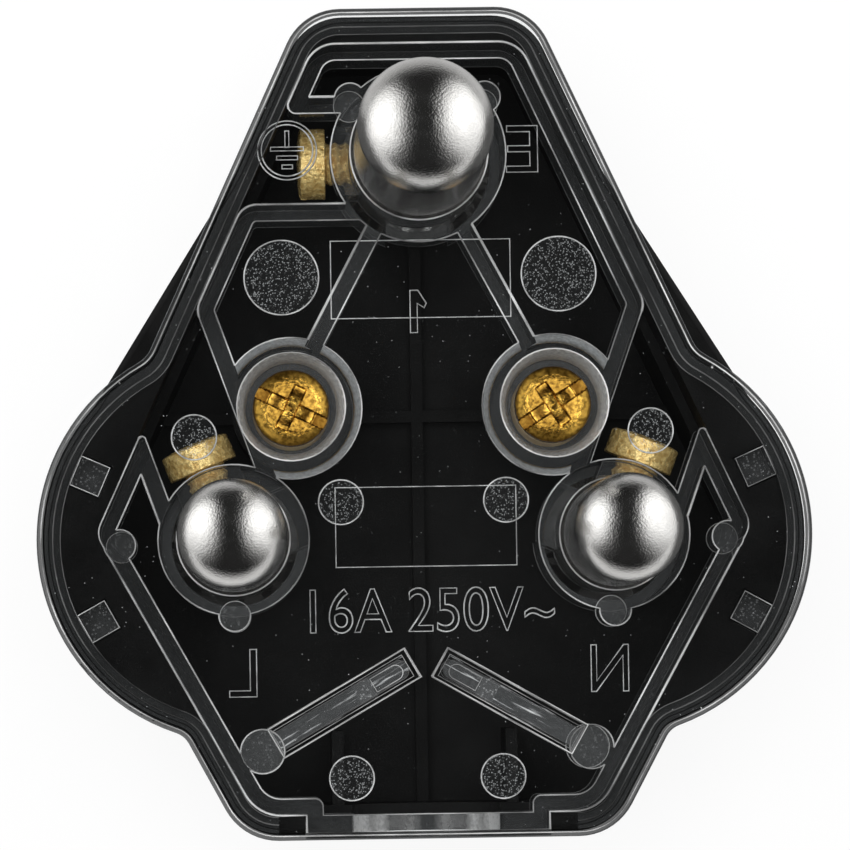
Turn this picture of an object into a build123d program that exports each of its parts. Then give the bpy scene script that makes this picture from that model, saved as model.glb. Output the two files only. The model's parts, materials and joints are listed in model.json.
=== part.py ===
from build123d import *

# Rewireable three-pin plug top: a clear pin plate that carries three round pins and their terminal screws,
# closed at the back by a hollow black rubber cover and held to it by two sunk brass screws.
# Millimetres and degrees. The plug lies on its flat back with the pins up: +Z is the way the pins point, and +Y
# runs from the cord entry to the earth pin. The origin is the middle of the footprint, on the back face.

import os
from dataclasses import dataclass
from math import cos, radians, sin, tan

# Overall body and pin layout
pin_spacing = 25.4
earth_rise = 25.6
earth_end = 9.57
cord_end = 20.03
body_depth = 26.0
plate_thickness = 3.0

# Pins
side_pin_radius = 3.53
side_pin_reach = 21.4
side_wire_hole_radius = 1.9
earth_pin_radius = 4.355
earth_pin_reach = 26.6
earth_wire_hole_radius = 2.1
pin_seat_step = 0.2
pin_clearance = 0.03
pin_flange_width = 0.65
pin_flange_thickness = 1.2
wire_hole_floor = 1.1

# Outline of the plate
top_half_width = 7.63
flank_angle = 24.8
bottom_half_width = 12.35
neck_angle = 28.2
bulge_inset = 0.5
bulge_radius = 13.55
top_corner_radius = 3.9
bottom_corner_radius = 4.0
shoulder_radius = 2.0
waist_radius = 1.5
plate_front_radius = 0.5
plate_back_radius = 0.4

# Ribs on the back of the plate
rib_thickness = 1.1
rib_height = 7.0
rim_width = 1.62
top_rim_width = 2.1
rib_bend_radius = 0.9
rib_top_bend_radius = 1.6
rib_foot_bend_radius = 2.2
rib_tip_radius = 0.25
rib_shoulder_rise = 15.4
rib_apex_rise = 5.95
rib_knee_rise = 0.55
rib_leg_angle = 125.0
rib_hairpin_angle = 13.4
earth_hook_rise = 3.38
earth_sill_drop = 3.78
brace_earth_angle = -58.3
brace_screw_angle = 110.5

# Bosses, posts and keys on the back of the plate
boss_height = 12.0
boss_collar_height = 5.6
boss_wall = 1.28
boss_screw_gap = 4.6
boss_wire_gap = 4.3
post_radius = 1.05
earth_post_angle = 40.0
side_post_angle = -90.0
knee_post_inset = 0.95
knee_post_drop = 0.8
key_size = 2.05
key_height = 4.0
key_ring_radius = 10.95
key_upper_angle = 23.7
key_lower_angle = -29.0
key_clearance = 0.15

# Cord entry and cord grip
cord_radius = 5.0
entry_half_width = 8.1
entry_wall = 1.5
entry_inset = 0.1
entry_clearance = 0.1
grip_post_x = 10.97
grip_post_rise = 5.9
grip_post_radius = 1.47
grip_angle = 29.85
grip_slot_start = 1.04
grip_slot_length = 10.55
grip_slot_width = 2.18
leaf_thickness = 1.3
leaf_gap = 0.7
leaf_tip_clearance = 0.35

# Cover screws and their inserts
cover_screw_inset = 3.96
cover_screw_rise = 8.73
cover_screw_radius = 1.75
cover_screw_length = 14.0
cover_head_radius = 2.55
cover_head_height = 2.1
cover_head_dome = 0.7
cover_slot_width = 0.85
cover_slot_depth = 0.9
cover_cross_length = 3.1
left_slot_turn = -26.0
right_slot_turn = 33.0
counterbore_depth = 4.3
counterbore_mouth_radius = 3.6
counterbore_seat_radius = 3.05
cover_hole_clearance = 0.2
screw_boss_root_radius = 4.72
screw_boss_end_radius = 4.2
screw_boss_flare = 1.6
insert_wall = 0.85
insert_length = 8.0
insert_sink = 0.4
thread_clearance = 0.02

# Terminal screws
terminal_depth = 8.5
terminal_screw_radius = 1.5
terminal_head_radius = 2.4
terminal_head_height = 1.9
terminal_head_edge = 0.3
terminal_slot_width = 0.8
terminal_slot_depth = 0.9
terminal_standoff = 1.82
terminal_tip = 1.3
earth_screw_angle = 180.0
earth_wire_angle = -90.0
live_screw_angle = 112.0
live_wire_angle = 22.0

# Rubber cover
cover_inset = 0.3
cover_flank_inset = 0.55
cover_top_half_width = 5.7
cover_blend_radius = 10.0
cover_shoulder_radius = 3.0
cover_floor = 3.0
cover_back_radius = 3.0
cover_rim_radius = 0.5
cavity_clearance = 0.1
cavity_corner_radius = 1.5
pillar_radius = 4.0
floor_rib_thickness = 0.8
floor_rib_height = 1.5
cord_guide_gap = 0.5
cord_guide_thickness = 0.8
cord_guide_length = 5.0
cord_guide_drop = 2.0

# Levels and places that follow from the sizes above
body_length = cord_end + earth_rise + earth_end
top_y = body_length / 2
bottom_y = -body_length / 2
pin_line_y = bottom_y + cord_end
bulge_x = pin_spacing / 2 - bulge_inset
cover_screw_x = pin_spacing / 2 - cover_screw_inset
face_z = body_depth
inner_z = face_z - plate_thickness
rib_end_z = inner_z - rib_height
boss_end_z = inner_z - boss_height
terminal_z = inner_z - terminal_depth
seat_z = face_z - counterbore_depth
right_screw = (cover_screw_x, pin_line_y + cover_screw_rise)
left_screw = (-cover_screw_x, pin_line_y + cover_screw_rise)
grip_post = (grip_post_x, bottom_y + grip_post_rise)
screw_bore = cover_screw_radius + thread_clearance
insert_radius = screw_bore + insert_wall


def polar(centre, radius, angle):
    """Point at a distance and an angle from a centre."""
    return (centre[0] + radius * cos(radians(angle)), centre[1] + radius * sin(radians(angle)))


def flip(point):
    """The same point on the other side of the plug."""
    return (-point[0], point[1])


def both_sides(shape):
    """A shape and its mirror image across the plug's middle."""
    return shape + mirror(shape, about=Plane.YZ)


@dataclass(frozen=True)
class Terminal:
    """A pin's place and sizes, and the ways that its screw and its wire come in."""

    centre: tuple
    radius: float
    reach: float
    wire_hole_radius: float
    screw_angle: float
    wire_angle: float

    @property
    def shank_radius(self):
        """Radius of the pin inside its boss."""
        return self.radius + pin_seat_step

    @property
    def boss_radius(self):
        """Outside radius of the boss on the plate."""
        return self.shank_radius + pin_clearance + boss_wall

    @property
    def root(self):
        """Distance from the axis at which a rib is well inside the boss's wall."""
        return self.boss_radius - boss_wall / 2


earth = Terminal(
    (0.0, pin_line_y + earth_rise),
    earth_pin_radius,
    earth_pin_reach,
    earth_wire_hole_radius,
    earth_screw_angle,
    earth_wire_angle,
)
live = Terminal(
    (-pin_spacing / 2, pin_line_y),
    side_pin_radius,
    side_pin_reach,
    side_wire_hole_radius,
    live_screw_angle,
    live_wire_angle,
)
neutral = Terminal(
    flip(live.centre),
    side_pin_radius,
    side_pin_reach,
    side_wire_hole_radius,
    180.0 - live_screw_angle,
    180.0 - live_wire_angle,
)


def flank_x(y, inset=0.0):
    """Half width of the straight upper flank at height y, moved in by inset."""
    return top_half_width + (top_y - y) * tan(radians(flank_angle)) - inset / cos(radians(flank_angle))


def neck_x(y, inset=0.0):
    """Half width of the straight lower flank at height y, moved in by inset."""
    return bottom_half_width + (y - bottom_y) * tan(radians(neck_angle)) - inset / cos(radians(neck_angle))


def prism(sketch, low_z, high_z):
    """Straight extrusion of a flat shape between two levels."""
    return extrude(Pos(0, 0, low_z) * sketch, amount=high_z - low_z, dir=(0, 0, 1))


def disc(point, radius):
    """Round flat shape at a point."""
    return Pos(*point) * Circle(radius)


def upright(point, radius, low_z, high_z):
    """Round bar on a vertical axis, between two levels."""
    return Pos(*point, (low_z + high_z) / 2) * Cylinder(radius, high_z - low_z)


def tapered(point, low_radius, high_radius, low_z, high_z):
    """Round tapered bar on a vertical axis, between two levels."""
    return Pos(*point, (low_z + high_z) / 2) * Cone(low_radius, high_radius, high_z - low_z)


def crosswise(radius, start, end, angle):
    """Round bar at the terminals' level, between two distances from a pin's axis."""
    bar = Pos((start + end) / 2, 0, terminal_z) * Rot(0, 90, 0) * Cylinder(radius, end - start)
    return Rot(0, 0, angle) * bar


def spade(inset):
    """Straight-sided middle of the outline, from the earth end to the cord end."""
    right = [
        (flank_x(top_y - inset, inset), top_y - inset),
        (flank_x(pin_line_y, inset), pin_line_y),
        (neck_x(pin_line_y, inset), pin_line_y),
        (neck_x(bottom_y + inset, inset), bottom_y + inset),
    ]
    return make_face(Polyline(*right, *[flip(p) for p in reversed(right)], close=True))


def bulges(radius):
    """Two round bulges of the outline, one round each side pin."""
    return both_sides(Pos(bulge_x, pin_line_y) * Rot(0, 0, 180) * Circle(radius))


def round_rows(outline, radii):
    """Round an outline's corners, row by row from the cord end up. A radius of 0 leaves its row."""
    for row, radius in zip(outline.vertices().group_by(Axis.Y), radii):
        if radius:
            places = [Vector(*corner) for corner in row]
            corners = [v for v in outline.vertices() if any((Vector(*v) - p).length < 1e-4 for p in places)]
            outline = fillet(corners, radius)
    return outline


def plate_outline():
    """Outline of the pin plate: spade, bulges and their rounded corners."""
    return round_rows(
        spade(0.0) + bulges(bulge_radius),
        (bottom_corner_radius, waist_radius, shoulder_radius, top_corner_radius),
    )


def cover_outline():
    """Outline of the rubber cover, with straight flanks drawn tight from inside the bulges to the earth end."""
    crown = Line((cover_top_half_width, top_y - cover_inset), (-cover_top_half_width, top_y - cover_inset))
    hull = make_hull(bulges(bulge_radius - cover_flank_inset).edges() + crown.edges())
    return round_rows(
        spade(cover_inset) + bulges(bulge_radius - cover_inset) + hull,
        (bottom_corner_radius, waist_radius, cover_shoulder_radius, cover_blend_radius, top_corner_radius),
    )


# Corner points of the ribs' middle lines, on the neutral side
rib_line = rim_width + rib_thickness / 2
rib_top_y = top_y - top_rim_width - rib_thickness / 2
rib_foot_y = bottom_y + rim_width + rib_thickness / 2
rib_shoulder_y = pin_line_y + rib_shoulder_rise
rib_apex_y = pin_line_y + rib_apex_rise
rib_knee_y = pin_line_y + rib_knee_rise
rib_top = (flank_x(rib_top_y, rib_line), rib_top_y)
rib_shoulder = (flank_x(rib_shoulder_y, rib_line), rib_shoulder_y)
rib_apex = (flank_x(rib_apex_y, rib_line), rib_apex_y)
rib_knee = (flank_x(rib_knee_y, rib_line), rib_knee_y)
rib_foot = (neck_x(rib_foot_y, rib_line), rib_foot_y)
rib_heel = (entry_half_width - rib_thickness / 2, rib_foot_y)
leg_root = polar(neutral.centre, neutral.root, rib_leg_angle)
hairpin_root = polar(neutral.centre, neutral.root, rib_hairpin_angle)


def rib(points, radii):
    """Flat band of the ribs' thickness along a path with rounded bends."""
    return trace(FilletPolyline(*points, radius=radii), rib_thickness)


def straight_rib(start, end):
    """Flat band of the ribs' thickness between two points."""
    return trace(Line(start, end), rib_thickness)


def elbow(point):
    """Flat round that closes the outside of a sharp turn in a rib."""
    return disc(point, rib_thickness / 2)


def rib_tip(corner, ends):
    """Flat point that closes the outside of a hairpin turn, blunted at its tip."""
    turn = Vector(*corner)
    ways = [(Vector(*end) - turn).normalized() for end in ends]
    out = -(ways[0] + ways[1]).normalized()
    tip = turn + out * (rib_thickness / 2 / sin(radians(ways[0].get_angle(ways[1]) / 2)))
    sides = [turn + (out - way * out.dot(way)).normalized() * (rib_thickness / 2) for way in ways]
    point = make_face(Polyline(turn, sides[0], tip, sides[1], close=True))
    return fillet(point.vertices().sort_by_distance(tip)[0], rib_tip_radius)


def wire_ribs():
    """Flat pattern of the ribs that part the wiring space from the screw pockets and guide the wires."""
    lower = rib([rib_apex, rib_knee, rib_foot, rib_heel], [rib_bend_radius, rib_foot_bend_radius])
    lower += straight_rib(hairpin_root, rib_apex) + rib_tip(rib_apex, (hairpin_root, rib_knee))
    lower += straight_rib(rib_heel, (rib_heel[0], bottom_y + entry_inset + entry_wall / 2)) + elbow(rib_heel)
    brace = straight_rib(
        polar(earth.centre, earth.root, brace_earth_angle),
        polar(right_screw, screw_boss_end_radius, brace_screw_angle),
    )
    hook_y = earth.centre[1] + earth_hook_rise
    hook = (-flank_x(hook_y, rib_line), hook_y)
    hook_start = flip(polar(earth.centre, earth.boss_radius, earth_post_angle))
    crown = rib(
        [hook, flip(rib_top), rib_top, rib_shoulder, leg_root],
        [rib_top_bend_radius, rib_top_bend_radius, rib_bend_radius],
    )
    crown += straight_rib((hook_start[0], hook_y), hook) + elbow(hook)
    sill_y = earth.centre[1] - earth_sill_drop
    sill = rib(
        [
            (-earth.root / 2, sill_y),
            (-flank_x(sill_y, rib_line), sill_y),
            flip(rib_shoulder),
            flip(leg_root),
        ],
        [rib_bend_radius, rib_bend_radius],
    )
    return both_sides(lower + brace) + crown + sill


def posts():
    """Flat pattern of the round posts on the ribs and bosses."""
    pattern = disc(polar(earth.centre, earth.boss_radius, earth_post_angle), post_radius)
    pattern += disc(polar(neutral.centre, neutral.boss_radius, side_post_angle), post_radius)
    pattern += disc((rib_knee[0] - knee_post_inset, rib_knee[1] - knee_post_drop), post_radius)
    pattern += disc(grip_post, grip_post_radius)
    return both_sides(pattern)


def keys(growth):
    """Flat pattern of the square keys that lock the bulges to the rubber, grown for clearance."""
    centre = (bulge_x, pin_line_y)
    side = key_size + 2 * growth
    pattern = Sketch() + [
        Pos(*polar(centre, key_ring_radius, angle)) * Rot(0, 0, angle) * Rectangle(side, side)
        for angle in (key_upper_angle, key_lower_angle)
    ]
    return both_sides(pattern)


def grip_bar(start, end, width):
    """Flat bar along the cord grip's slant, between two distances from its hinge post."""
    centre = polar(grip_post, (start + end) / 2, 180.0 - grip_angle)
    return Pos(*centre) * Rot(0, 0, -grip_angle) * Rectangle(end - start, width)


def grip_leaves():
    """Flat pattern of the two leaves that bite on the cord, round at their tips."""
    tip = grip_slot_start + grip_slot_length - leaf_tip_clearance - leaf_thickness / 2
    leaf = grip_bar(0.0, tip, leaf_thickness)
    leaf += disc(polar(grip_post, tip, 180.0 - grip_angle), leaf_thickness / 2)
    return both_sides(leaf)


def grip_slots():
    """Flat pattern of the slots over the leaves, through which the mould forms them."""
    return both_sides(grip_bar(grip_slot_start, grip_slot_start + grip_slot_length, grip_slot_width))


def screw_bosses():
    """Bosses round the cover screws, flared at the plate and cut off at the ribs that pass beside them."""
    flare_z = inner_z - screw_boss_flare
    boss = upright(right_screw, screw_boss_end_radius, rib_end_z, inner_z)
    boss += tapered(right_screw, screw_boss_end_radius, screw_boss_root_radius, flare_z, inner_z)
    pocket = make_face(Polyline(rib_shoulder, leg_root, rib_apex, close=True))
    return both_sides(boss - prism(pocket, rib_end_z, inner_z))


def entry_wall_block(growth):
    """Wall across the cord entry, grown for clearance."""
    depth = entry_wall + growth
    wall = Pos(0, bottom_y + entry_inset + depth / 2) * Rectangle(2 * (entry_half_width + growth), depth)
    return prism(wall, rib_end_z, inner_z)


def cord_bore():
    """Round way in for the cord, half in the plate's wall and half in the rubber."""
    length = 2 * (rim_width + rib_thickness + entry_wall)
    return Pos(0, bottom_y, rib_end_z) * Rot(90, 0, 0) * Cylinder(cord_radius, length)


def boss_gap(terminal, width, angle):
    """Slot through one side of a pin boss, open at the boss's free end."""
    reach = terminal.boss_radius
    slot = Pos(*polar(terminal.centre, reach / 2, angle)) * Rot(0, 0, angle) * Rectangle(reach, width)
    return prism(slot & disc(terminal.centre, reach), boss_end_z, inner_z - boss_collar_height)


def pin_plate():
    """Clear pin plate with its ribs, bosses, posts, cord entry wall and cord-grip leaves."""
    plate = prism(plate_outline(), inner_z, face_z)
    plate = fillet(plate.faces().sort_by(Axis.Z)[-1].edges(), plate_front_radius)
    plate = fillet(plate.faces().sort_by(Axis.Z)[0].edges(), plate_back_radius)
    plate += prism(wire_ribs() + posts(), rib_end_z, inner_z)
    plate += prism(keys(0.0), inner_z - key_height, inner_z)
    plate += prism(grip_leaves(), rib_end_z, inner_z - leaf_gap)
    plate += entry_wall_block(0.0)
    plate += screw_bosses()
    for terminal in (earth, live, neutral):
        plate += upright(terminal.centre, terminal.boss_radius, boss_end_z, inner_z)
    for terminal in (earth, live, neutral):
        plate -= upright(terminal.centre, terminal.shank_radius + pin_clearance, boss_end_z, face_z)
        plate -= boss_gap(terminal, boss_screw_gap, terminal.screw_angle)
        plate -= boss_gap(terminal, boss_wire_gap, terminal.wire_angle)
    for place in (left_screw, right_screw):
        plate -= tapered(place, counterbore_seat_radius, counterbore_mouth_radius, seat_z, face_z)
        plate -= upright(place, cover_screw_radius + cover_hole_clearance, rib_end_z, seat_z)
    plate -= prism(grip_slots(), inner_z, face_z)
    return plate - cord_bore()


def cord_guides():
    """Flat pattern of the two walls that keep the cord in line behind its entry."""
    middle_x = cord_radius + cord_guide_gap + cord_guide_thickness / 2
    guide = Pos(middle_x, rib_foot_y + cord_guide_length / 2) * Rectangle(cord_guide_thickness, cord_guide_length)
    return both_sides(guide)


def rubber_cover():
    """Hollow rubber cover with seats for the ribs, keys, cord wall and screw inserts."""
    cover = prism(cover_outline(), 0.0, inner_z)
    cover = fillet(cover.faces().sort_by(Axis.Z)[0].edges(), cover_back_radius)
    cover = fillet(cover.faces().sort_by(Axis.Z)[-1].edges(), cover_rim_radius)
    right = [rib_top, rib_knee, rib_foot]
    hollow = make_face(Polyline(*right, *[flip(p) for p in reversed(right)], close=True))
    hollow = fillet(hollow.vertices(), cavity_corner_radius)
    cover -= prism(hollow, cover_floor, rib_end_z)
    cover -= prism(offset(hollow, rib_thickness / 2 + cavity_clearance), rib_end_z, inner_z)
    cover -= prism(keys(key_clearance), inner_z - key_height - key_clearance, inner_z)
    cover -= entry_wall_block(entry_clearance)
    floor_ribs = Rectangle(floor_rib_thickness, body_length)
    floor_ribs += Pos(0, right_screw[1]) * Rectangle(2 * rib_knee[0], floor_rib_thickness)
    cover += prism(floor_ribs & hollow, cover_floor, cover_floor + floor_rib_height)
    cover += prism(cord_guides() & hollow, cover_floor, rib_end_z - cord_guide_drop)
    cover -= cord_bore()
    for place in (left_screw, right_screw):
        cover += upright(place, pillar_radius, cover_floor, rib_end_z)
        cover -= upright(place, insert_radius, rib_end_z - insert_sink - insert_length, rib_end_z)
        cover -= upright(place, screw_bore, seat_z - cover_screw_length, rib_end_z)
    return cover


def turned(*edges):
    """Solid turned about the Z axis from the edges of its half section."""
    return revolve(Plane.XZ * make_face(Curve() + list(edges)), axis=Axis.Z)


def pin(terminal):
    """Round pin with a domed end, a rear flange, a wire hole and a tapped hole for its terminal screw."""
    radius = terminal.radius
    shank = terminal.shank_radius
    flange = shank + pin_flange_width
    rear_z = boss_end_z - pin_flange_thickness
    tip_z = face_z + terminal.reach
    body = turned(
        Polyline(
            (0, rear_z),
            (flange, rear_z),
            (flange, boss_end_z),
            (shank, boss_end_z),
            (shank, face_z),
            (radius, face_z),
            (radius, tip_z - radius),
        ),
        RadiusArc((radius, tip_z - radius), (0, tip_z), -radius),
        Line((0, tip_z), (0, rear_z)),
    )
    body -= crosswise(terminal.wire_hole_radius, wire_hole_floor - radius, flange, terminal.wire_angle)
    body -= crosswise(terminal_screw_radius + thread_clearance, 0.0, flange, terminal.screw_angle)
    return Pos(*terminal.centre) * body


def terminal_screw(terminal):
    """Cheese-head screw that clamps a wire in its pin."""
    under_head = terminal.radius + terminal_standoff
    top = under_head + terminal_head_height
    head = crosswise(terminal_head_radius, under_head, top, 0.0)
    head = chamfer(head.faces().sort_by(Axis.X)[-1].edges(), terminal_head_edge)
    head -= Pos(top, 0, terminal_z) * Box(2 * terminal_slot_depth, 3 * terminal_head_radius, terminal_slot_width)
    screw = head + crosswise(terminal_screw_radius, terminal_tip, under_head, 0.0)
    return Pos(*terminal.centre) * Rot(0, 0, terminal.screw_angle) * screw


def cover_screw(place, turn):
    """Cover screw with a domed head, slotted and cross-recessed, on a plain shank."""
    top_z = seat_z + cover_head_height
    edge_z = top_z - cover_head_dome
    tip_z = seat_z - cover_screw_length
    dome_radius = (cover_head_radius**2 + cover_head_dome**2) / (2 * cover_head_dome)
    screw = turned(
        Polyline(
            (0, tip_z),
            (cover_screw_radius, tip_z),
            (cover_screw_radius, seat_z),
            (cover_head_radius, seat_z),
            (cover_head_radius, edge_z),
        ),
        RadiusArc((cover_head_radius, edge_z), (0, top_z), -dome_radius),
        Line((0, top_z), (0, tip_z)),
    )
    recess = Box(3 * cover_head_radius, cover_slot_width, cover_slot_depth)
    recess += Box(cover_slot_width, cover_cross_length, cover_slot_depth)
    screw -= Pos(0, 0, top_z - cover_slot_depth / 2) * recess
    return Pos(*place) * Rot(0, 0, turn) * screw


def cover_insert(place):
    """Brass insert in a rubber pillar, tapped for a cover screw."""
    top_z = rib_end_z - insert_sink
    low_z = top_z - insert_length
    return upright(place, insert_radius, low_z, top_z) - upright(place, screw_bore, low_z, top_z)


parts = {
    "pin_plate": pin_plate(),
    "rubber_cover": rubber_cover(),
    "earth_pin": pin(earth),
    "live_pin": pin(live),
    "neutral_pin": pin(neutral),
    "earth_terminal_screw": terminal_screw(earth),
    "live_terminal_screw": terminal_screw(live),
    "neutral_terminal_screw": terminal_screw(neutral),
    "cover_screw_left": cover_screw(left_screw, left_slot_turn),
    "cover_screw_right": cover_screw(right_screw, right_slot_turn),
    "cover_insert_left": cover_insert(left_screw),
    "cover_insert_right": cover_insert(right_screw),
}

os.makedirs("parts", exist_ok=True)
for node, solid in parts.items():
    export_step(solid, f"parts/{node}.step")
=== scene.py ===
"""Looks of a rewireable plug top: clear pin plate, plated pins, brass screws and a black rubber cover."""

import json
import logging
from dataclasses import dataclass
from enum import Enum
from math import cos, pi, radians, sin, tau
from typing import Any, Optional, Sequence

import bpy
import numpy as np
from mathutils import Matrix, Vector


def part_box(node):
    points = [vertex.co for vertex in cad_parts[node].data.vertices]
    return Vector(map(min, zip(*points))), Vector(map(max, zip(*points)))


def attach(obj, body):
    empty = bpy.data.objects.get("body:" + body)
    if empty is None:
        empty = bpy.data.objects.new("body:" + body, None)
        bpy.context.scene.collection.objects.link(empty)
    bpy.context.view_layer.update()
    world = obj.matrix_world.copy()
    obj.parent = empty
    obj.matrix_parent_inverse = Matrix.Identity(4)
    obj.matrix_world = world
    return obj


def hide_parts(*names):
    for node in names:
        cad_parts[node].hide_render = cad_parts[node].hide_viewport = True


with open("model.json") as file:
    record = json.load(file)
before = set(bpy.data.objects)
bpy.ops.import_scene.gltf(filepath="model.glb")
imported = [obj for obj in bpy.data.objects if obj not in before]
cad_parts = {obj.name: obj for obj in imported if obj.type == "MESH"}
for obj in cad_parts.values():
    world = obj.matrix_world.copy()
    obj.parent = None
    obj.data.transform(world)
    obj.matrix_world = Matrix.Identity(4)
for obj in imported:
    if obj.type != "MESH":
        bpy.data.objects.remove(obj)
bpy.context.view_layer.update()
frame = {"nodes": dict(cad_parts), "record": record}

LOG = logging.getLogger("plug_top")
MM = 0.001
BODY = "root"
NEAR = 0.05  # millimetres between places that count as one
TOUCH = 0.001  # millimetres between faces that touch
LEVEL = 0.99  # upward part of the normal of a level face
PLATE_THICKNESS = 3.0
TERMINAL_DEPTH = 8.5  # from the back of the plate to the terminal screws' axes
TERMINAL_ANGLES = {"earth": 180.0, "live": 112.0, "neutral": 68.0}
Array = np.ndarray
Socket = bpy.types.NodeSocket
Piece = bpy.types.Object


class Slot(Enum):
    """Material slots of the record, which the pieces' finishes stand for."""

    PLATE = "clear_plate"
    RUBBER = "black_rubber"
    PIN = "plated_pin"
    SCREW = "brass_screw"
    INSERT = "brass_insert"


class Graph:
    """A node tree, with short calls that add nodes and wire them. Lengths in it are millimetres."""

    def __init__(self, tree: bpy.types.NodeTree) -> None:
        """Empty the tree and put its millimetre coordinates in place.

        Args:
            tree: Node tree of a material or of the world.
        """
        self.tree = tree
        tree.nodes.clear()
        metres = self.add("TexCoord").outputs["Object"]
        self.place = self.add("VectorMath", {0: metres, "Scale": 1 / MM}, operation="SCALE").outputs[0]

    def add(self, kind: str, inputs: Optional[dict] = None, **settings: Any) -> bpy.types.Node:
        """Add a node.

        Args:
            kind: Node type without its common prefix.
            inputs: Constants or sockets, by the input's name or number.
            settings: The node's own properties.

        Returns:
            The new node.
        """
        node = self.tree.nodes.new("ShaderNode" + kind)
        for name, value in settings.items():
            setattr(node, name, value)
        for key, value in (inputs or {}).items():
            if isinstance(value, Socket):
                self.tree.links.new(value, node.inputs[key])
            else:
                node.inputs[key].default_value = value
        return node

    def maths(self, operation: str, *values: Any) -> Socket:
        """Result of a maths node on constants or sockets."""
        return self.add("Math", dict(enumerate(values)), operation=operation).outputs[0]

    def span(
        self, value: Socket, low: float, high: float, start: float, end: float, curve: str = "LINEAR"
    ) -> Socket:
        """Value moved from the range low..high to the range start..end, and held there."""
        inputs = {"Value": value, "From Min": low, "From Max": high, "To Min": start, "To Max": end}
        return self.add("MapRange", inputs, interpolation_type=curve).outputs[0]

    def noise(self, scale: float, detail: float = 2.0, place: Optional[Socket] = None) -> Socket:
        """Soft noise.

        Args:
            scale: Lumps in a millimetre.
            detail: Finer layers on top of the first.
            place: Coordinates to use in place of the tree's own.

        Returns:
            Noise between about 0.2 and 0.8.
        """
        inputs = {"Vector": place or self.place, "Scale": scale, "Detail": detail}
        return self.add("TexNoise", inputs).outputs[0]

    def specks(self, scale: float, size: float, share: float) -> Socket:
        """Round specks, one in some of the cells of a random pattern.

        Args:
            scale: Cells in a millimetre.
            size: Radius of a speck, in cells.
            share: Share of the cells that hold a speck.

        Returns:
            1 inside a speck and 0 outside.
        """
        cells = self.add("TexVoronoi", {"Vector": self.place, "Scale": scale})
        chosen = self.maths("LESS_THAN", cells.outputs["Color"], share)
        spot = self.span(cells.outputs["Distance"], size * 0.6, size, 1.0, 0.0)
        return self.maths("MULTIPLY", chosen, spot)

    def attribute(self, name: str) -> Socket:
        """Number that the mesh carries under a name."""
        return self.add("Attribute", attribute_name=name).outputs["Fac"]

    def tint(self, share: Socket, first: Sequence[float], second: Sequence[float]) -> Socket:
        """Colour between two colours."""
        mix = self.add("Mix", {"Factor": share, "A": (*first, 1.0), "B": (*second, 1.0)}, data_type="RGBA")
        return mix.outputs["Result"]

    def bump(self, height: Socket, depth: float) -> Socket:
        """Normal of a surface with small relief of a depth in millimetres."""
        return self.add("Bump", {"Height": height, "Distance": depth * MM}).outputs[0]

    def blend(self, share: Any, first: Socket, second: Socket) -> Socket:
        """Shader between two shaders."""
        return self.add("MixShader", {0: share, 1: first, 2: second}).outputs[0]

    def frosted(self, share: Socket) -> Socket:
        """Clear surface that scatters a share of the light."""
        clear = self.add("BsdfTransparent").outputs[0]
        frost = self.add("BsdfDiffuse", {"Color": (0.85, 0.87, 0.88, 1.0)}).outputs[0]
        return self.blend(share, clear, frost)

    def gleam(self, at_normal: float) -> Socket:
        """Mirrored share of light: a base share, plus the rest times (1 - cosine) to the fifth power."""
        facing = self.add("LayerWeight", {"Blend": 0.5}).outputs["Facing"]
        return self.maths("MULTIPLY_ADD", self.maths("POWER", facing, 5.0), 1.0 - at_normal, at_normal)

    def finish(self, shader: Socket, target: str = "OutputMaterial") -> None:
        """Wire a shader to the tree's output."""
        self.add(target, {"Surface": shader})


@dataclass(frozen=True)
class Finish:
    """A surface finish, which becomes one material."""

    name: str

    def material(self) -> bpy.types.Material:
        """The finish's material, made on its first use."""
        made = bpy.data.materials.get(self.name)
        if made is None:
            made = bpy.data.materials.new(self.name)
            made.use_nodes = True
            graph = Graph(made.node_tree)
            graph.finish(self.shade(graph))
        return made

    def shade(self, graph: Graph) -> Socket:
        """The finish's nodes, up to its shader."""
        raise NotImplementedError


@dataclass(frozen=True)
class ClearPlastic(Finish):
    """Clear moulding: see-through and glossy, with a veil of scattered light where its surface is frosted."""

    mirror_share: float = 0.05
    gloss_roughness: float = 0.06
    veil_colour: tuple = (0.85, 0.88, 0.9)
    clear_tint: tuple = (0.98, 0.985, 0.985)
    shade_tint: tuple = (0.05, 0.05, 0.05)
    dust_share: float = 0.6
    glow_share: float = 0.0

    def shade(self, graph: Graph) -> Socket:
        """The finish's nodes, up to its shader."""
        cloud = graph.span(graph.noise(4.0, 1.0), 0.3, 0.7, 0.8, 1.2)
        veil = graph.maths("MULTIPLY", graph.attribute("veil"), cloud)
        drifts = graph.span(graph.noise(0.15, 1.0), 0.4, 0.65, 0.1 * self.dust_share, self.dust_share)
        drifts = graph.maths("MULTIPLY", drifts, graph.attribute("dust"))
        dust = graph.maths("MULTIPLY", graph.specks(3.0, 0.12, 0.28), drifts)
        through = graph.tint(graph.attribute("shade"), self.clear_tint, self.shade_tint)
        clear = graph.add("BsdfTransparent", {"Color": through}).outputs[0]
        frost = graph.add("BsdfDiffuse", {"Color": (*self.veil_colour, 1.0)}).outputs[0]
        if self.glow_share:
            glow = graph.add("BsdfTranslucent", {"Color": (*self.veil_colour, 1.0)}).outputs[0]
            frost = graph.blend(self.glow_share, frost, glow)
        gloss = graph.add("BsdfGlossy", {"Roughness": self.gloss_roughness}).outputs[0]
        body = graph.blend(graph.maths("MAXIMUM", veil, dust), clear, frost)
        mirrored = graph.maths("MULTIPLY", graph.gleam(self.mirror_share), graph.attribute("gloss"))
        return graph.blend(mirrored, body, gloss)


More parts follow.
